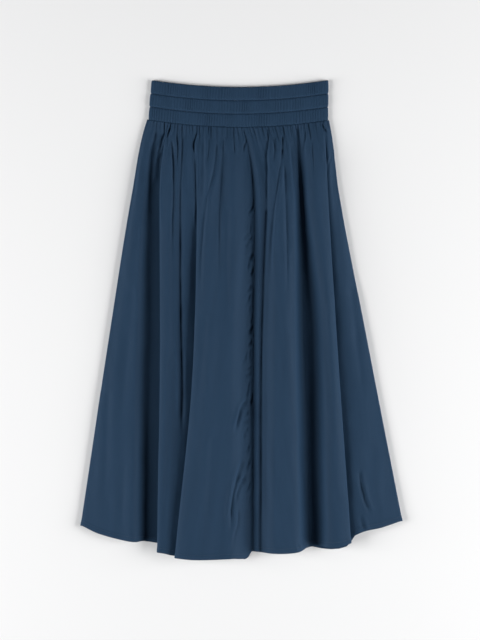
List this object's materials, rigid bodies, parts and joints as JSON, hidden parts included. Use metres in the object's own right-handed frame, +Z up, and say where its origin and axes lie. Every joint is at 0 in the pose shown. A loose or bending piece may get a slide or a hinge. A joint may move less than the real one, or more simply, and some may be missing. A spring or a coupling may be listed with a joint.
{
  "type": "gathered midi skirt",
  "caption": "Gathered midi skirt with a wide channelled elastic waistband, laid flat with its front up in soft, uneven lengthwise folds.",
  "frame": {"origin": "on the surface that the skirt lies on, under the middle of its outline", "axes": "+Z up from the surface, out of the front of the skirt; +Y from the hem to the waist; +X to the right as the front is seen"},
  "size_m": [0.563, 0.8389, 0.0347],
  "materials": {
    "skirt_cloth": "crisp plain-woven navy cloth with a soft sheen",
    "waistband_cloth": "the same navy cloth, shirred over elastic"
  },
  "bodies": {
    "root": {"waistband": "waistband_cloth", "front_left_panel": "skirt_cloth", "front_right_panel": "skirt_cloth", "back_panel": "skirt_cloth"}
  },
  "joints": []
}
